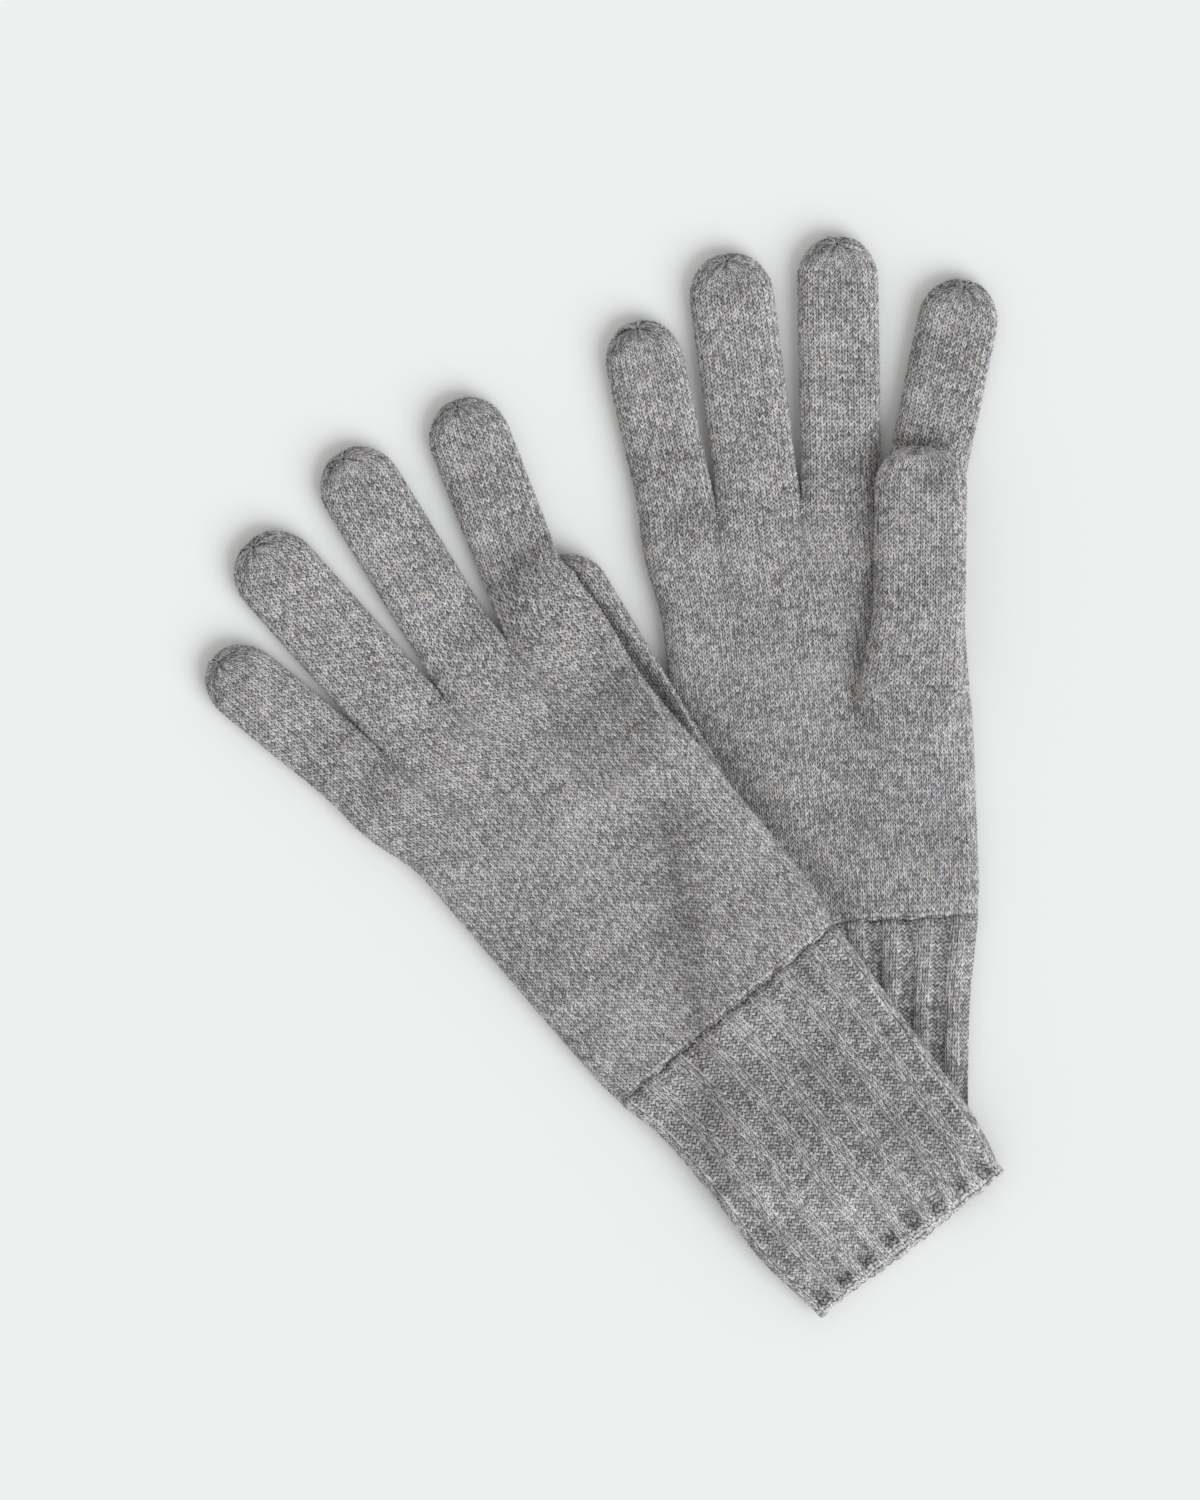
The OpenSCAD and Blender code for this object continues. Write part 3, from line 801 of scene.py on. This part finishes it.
class Shading:
    """Short names for the node steps of a material."""

    def __init__(self, name):
        self.material = bpy.data.materials.new(name)
        self.material.use_nodes = True
        self.nodes = self.material.node_tree.nodes
        self.links = self.material.node_tree.links
        self.shader = self.nodes["Principled BSDF"]

    def put(self, socket, value):
        """Sets a socket to a plain value, or links it to another socket."""
        if isinstance(value, (int, float, tuple)):
            socket.default_value = value
        else:
            self.links.new(value, socket)

    def math(self, kind, a, b=0.0):
        """One step of arithmetic on plain values or sockets."""
        node = self.nodes.new("ShaderNodeMath")
        node.operation = kind
        self.put(node.inputs[0], a)
        self.put(node.inputs[1], b)
        return node.outputs[0]

    def sum(self, *parts):
        """The sum of (value, weight) pairs."""
        total = 0.0
        for value, weight in parts:
            total = self.math("ADD", total, self.math("MULTIPLY", value, weight))
        return total

    def square(self, value):
        """0 at the middle of something that runs from -0.5 to 0.5, and 1 at its ends."""
        return self.math("MULTIPLY", self.math("POWER", self.math("ABSOLUTE", value), 2.0), 4.0)

    def ease(self, value, low, high):
        """An eased step from 0 to 1, as a value goes from low to high."""
        node = self.nodes.new("ShaderNodeMapRange")
        node.interpolation_type = "SMOOTHSTEP"
        self.put(node.inputs["Value"], value)
        node.inputs["From Min"].default_value = low
        node.inputs["From Max"].default_value = high
        return node.outputs[0]

    def random(self, x, y):
        """A random value for each pair of whole numbers."""
        pair = self.nodes.new("ShaderNodeCombineXYZ")
        self.put(pair.inputs[0], x)
        self.put(pair.inputs[1], y)
        node = self.nodes.new("ShaderNodeTexWhiteNoise")
        node.noise_dimensions = "3D"
        self.links.new(pair.outputs[0], node.inputs["Vector"])
        return node.outputs["Value"]

    def noise(self, vector, stretch, seed, detail=1.0):
        """Smooth noise, scaled in each direction, centred on zero."""
        mapping = self.nodes.new("ShaderNodeMapping")
        mapping.inputs["Scale"].default_value = stretch
        mapping.inputs["Location"].default_value = (seed, 2.7 * seed, 1.3 * seed)
        self.links.new(vector, mapping.inputs["Vector"])
        node = self.nodes.new("ShaderNodeTexNoise")
        node.inputs["Scale"].default_value = 1.0
        node.inputs["Detail"].default_value = detail
        self.links.new(mapping.outputs[0], node.inputs["Vector"])
        return self.math("SUBTRACT", node.outputs["Fac"], 0.5)

    def ramp(self, value, *stops):
        """The colour for a value, from (place, colour) pairs in order."""
        node = self.nodes.new("ShaderNodeValToRGB")
        elements = node.color_ramp.elements
        for element, (place, colour) in zip((elements[0], elements[1]), (stops[0], stops[-1])):
            element.position = place
            element.color = (*colour, 1)
        for place, colour in stops[1:-1]:
            elements.new(place).color = (*colour, 1)
        self.links.new(value, node.inputs[0])
        return node.outputs[0]

    def multiply(self, a, b):
        """Two colours multiplied."""
        node = self.nodes.new("ShaderNodeMix")
        node.data_type = "RGBA"
        node.blend_type = "MULTIPLY"
        node.inputs["Factor"].default_value = 1.0
        self.links.new(a, node.inputs["A"])
        self.links.new(b, node.inputs["B"])
        return node.outputs["Result"]


def sunken_ribs(s, wale):
    """1 in the sunken ribs and 0 on the raised ones."""
    wave = s.math("SINE", s.math("MULTIPLY", wale, math.pi / RIB_WALES))
    return s.ease(wave, 0.15, -0.15)


def stitch_gap_shade(s, wale, leg_x, leg_y, sunken):
    """How near a point is to the gaps round a leg of a stitch, from 0 to 1: where painted shade darkens
    the colour, as shade falls in those gaps.
    """
    from_middle = s.math("ABSOLUTE", s.math("SUBTRACT", s.math("FRACT", wale), 0.5))
    notch = s.math("SUBTRACT", 1.2, s.math("MULTIPLY", from_middle, 1.5))
    gap = s.sum((s.math("MULTIPLY", s.square(leg_x), notch), 0.75), (s.square(leg_y), 0.9))
    if sunken is not None:
        # Painted shade in the gaps between the purl bumps of the sunken ribs.
        purl_gap_shade = s.math("MULTIPLY", s.math("ABSOLUTE", leg_y), 2.05)
        raised = s.math("SUBTRACT", 1.0, sunken)
        gap = s.math("ADD", s.math("MULTIPLY", gap, raised), s.math("MULTIPLY", purl_gap_shade, sunken))
    return s.ease(gap, 0.4, 1.3)


def rib_painted_light(s, tone, course, sunken):
    """Painted shade in the sunken ribs, deepest in the pits near the mouth, and a painted highlight on
    the rolled welt at the mouth.
    """
    pit = s.math("MULTIPLY", s.ease(course, 0.8, 2.4), s.ease(course, 6.5, 3.0))
    welt = s.ease(course, 2.2, 0.8)
    pit_shade = s.math("MULTIPLY", sunken, pit)
    return s.sum((tone, 1.0), (sunken, -0.09), (pit_shade, -0.2), (welt, 0.09))


def heather_and_painted_light(name, seed, is_ribbed):
    """Melange yarn: light and dark fibres mixed along each yarn, with painted shade in the gaps between
    stitches, and on the ribs the painted shade and painted highlight of the rib tone.
    """
    s = Shading(name)
    s.shader.inputs["Roughness"].default_value = 0.95
    s.shader.inputs["Specular IOR Level"].default_value = 0.15
    s.shader.inputs["Sheen Weight"].default_value = 0.12
    s.shader.inputs["Sheen Roughness"].default_value = 0.5
    uv = s.nodes.new("ShaderNodeUVMap")
    uv.uv_map = "knit"
    place = uv.outputs[0]
    split = s.nodes.new("ShaderNodeSeparateXYZ")
    s.links.new(place, split.inputs[0])
    wale, course = split.outputs[0], split.outputs[1]
    legs = s.math("MULTIPLY", wale, 2.0)
    course_up = s.math("ADD", course, 0.5)
    leg_x = s.math("SUBTRACT", s.math("FRACT", legs), 0.5)
    leg_y = s.math("SUBTRACT", s.math("FRACT", course_up), 0.5)
    leg_random = s.random(s.math("FLOOR", legs), s.math("FLOOR", course_up))
    sunken = sunken_ribs(s, wale) if is_ribbed else None
    gap = stitch_gap_shade(s, wale, leg_x, leg_y, sunken)
    fibre = s.noise(place, (9.0, 2.2, 1.0), seed, 2.0)
    strand = s.noise(place, (2.6, 1.3, 1.0), seed + 5)
    yarn = s.noise(place, (0.22, 0.9, 1.0), seed + 9, 2.0)
    cloud = s.noise(place, (0.045, 0.1, 1.0), seed + 13, 2.0)
    # Painted shade: the gap term darkens the colour in the gaps between stitch legs, where shade falls.
    tone = s.sum(
        (s.math("SUBTRACT", leg_random, 0.5), 0.42), (fibre, 1.45), (strand, 1.0), (yarn, 0.5),
        (cloud, 0.42), (gap, -0.84),
    )
    # On a cuff, painted shade darkens the sunken ribs and their pits, and a painted highlight lightens
    # the welt.
    if is_ribbed:
        tone = rib_painted_light(s, tone, course, sunken)
    dark, grey, light = (0.07, 0.07, 0.073), (0.32, 0.317, 0.316), (0.78, 0.77, 0.755)
    shade = s.ramp(s.math("ADD", tone, 0.645), (0.0, dark), (0.5, grey), (1.0, light))
    cool, warm = (0.93, 0.965, 1.07), (1.07, 1.0, 0.92)
    tint = s.math("ADD", s.noise(place, (3.5, 0.9, 1.0), seed + 21), 0.5)
    tint = s.ramp(tint, (0.3, cool), (0.7, warm))
    s.links.new(s.multiply(shade, tint), s.shader.inputs["Base Color"])
    return s.material


def bend(piece, spot, start, end, z):
    """Bakes a piece's transform into its mesh. It finds the points at two places along a spot, but does
    not use them.
    """
    at = [Vector((*(spot.world(0.0, v) * MM), z)) for v in (start, end)]
    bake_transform(piece)


def build_glove(glove, material, rib_material):
    """All the pieces of one glove, each with its material and with the CAD nodes it replaces hidden;
    the hand, its joining stitches and the rear cuff are attached to the hand's body.
    """
    name = glove.name
    hand_body = name + "_hand"
    pieces = build_hand_and_fingers(glove)
    pieces["thumb"] = build_thumb(glove)
    for d, piece in pieces.items():
        piece.data.materials.append(material)
        if d == "hand":
            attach(piece, hand_body)
            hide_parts(hand_body, name + "_linking_seam")
            continue
        if d == "crotch_stitches":
            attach(piece, hand_body)
            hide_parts(name + "_crotch_stitches")
            continue
        node = f"{name}_{d}"
        bend(piece, glove.digits[d], 0.0, 20.0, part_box(node)[0].z)
        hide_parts(node, node + "_tip_stitch")
    cuff, inside = build_cuff(glove)
    for piece in (cuff, inside):
        piece.data.materials.append(rib_material)
        if name == "rear":
            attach(piece, hand_body)
        else:
            bend(piece, glove.spot, -1.0, -22.0, 0.01)
    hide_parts(name + "_cuff", name + "_cuff_edge")


def build_floor():
    """A wide sheet of pale paper, so wide that its end stays out of low views."""
    floor_mesh = bpy.data.meshes.new("floor")
    half = 60.0
    corners = [(-half, -half, 0), (half, -half, 0), (half, half, 0), (-half, half, 0)]
    floor_mesh.from_pydata(corners, [], [(0, 1, 2, 3)])
    floor = bpy.data.objects.new("floor", floor_mesh)
    bpy.context.scene.collection.objects.link(floor)
    material = bpy.data.materials.new("floor_paper")
    material.use_nodes = True
    shader = material.node_tree.nodes["Principled BSDF"]
    shader.inputs["Base Color"].default_value = (0.885, 0.9, 0.888, 1)
    shader.inputs["Roughness"].default_value = 0.9
    shader.inputs["Specular IOR Level"].default_value = 0.1
    floor.data.materials.append(material)


def build_light():
    """One broad soft key light from the lower right, and an even light from all round."""
    sun = bpy.data.lights.new("key", "SUN")
    sun.angle = math.radians(44)
    sun.energy = 1.8
    sun.color = (0.983, 1.013, 1.05)
    holder = bpy.data.objects.new("key", sun)
    holder.rotation_euler = Vector((0.57, -0.52, 0.62)).to_track_quat("Z", "Y").to_euler()
    bpy.context.scene.collection.objects.link(holder)
    world = bpy.data.worlds.new("studio")
    world.use_nodes = True
    background = world.node_tree.nodes["Background"]
    background.inputs["Color"].default_value = (0.99, 0.982, 0.97, 1)
    background.inputs["Strength"].default_value = 0.62
    bpy.context.scene.world = world


def build_camera():
    """A camera straight above and far away, so that the scale is nearly even over the view."""
    camera = bpy.data.cameras.new("camera")
    view_height, distance = 0.420, 6.0
    camera.sensor_fit = "AUTO"
    camera.lens = camera.sensor_width * distance / view_height
    camera.clip_end = 200
    holder = bpy.data.objects.new("camera", camera)
    holder.location = (-0.0007, 0.0076, distance)
    bpy.context.scene.collection.objects.link(holder)
    bpy.context.scene.camera = holder


build_camera()
build_floor()
build_light()
bpy.context.scene.view_settings.view_transform = "Standard"

rear_nodes = ["rear_hand", "rear_cuff", "rear_cuff_edge", "rear_linking_seam", "rear_little"]
cover_rear = Cover(rear_nodes)
cover_thumb = Cover(rear_nodes + ["front_thumb"])


def over_rear(xy):
    """The level that the front cuff and the front thumb rest at."""
    height = cover_rear(xy)
    return height + FLOOR_AIR * (1 - smooth(height / 3)) - pressed(xy) * smooth(height / 8)


def over_thumb(xy):
    """The level that the front hand and its fingers rest at."""
    height = cover_thumb(xy)
    sunk = pressed(xy) * smooth(height / 8) * (1 - smooth(FRONT_SPOT.local(xy)[1] / 40))
    return height + FLOOR_AIR * (1 - smooth(height / 3)) - sunk


rear = Glove("rear", True, floor_height, floor_height)
front = Glove("front", False, over_rear, over_thumb)
plain = heather_and_painted_light("heather_plain", 1.0, False)
ribbed = heather_and_painted_light("heather_rib", 2.0, True)
build_glove(rear, plain, ribbed)
build_glove(front, plain, ribbed)
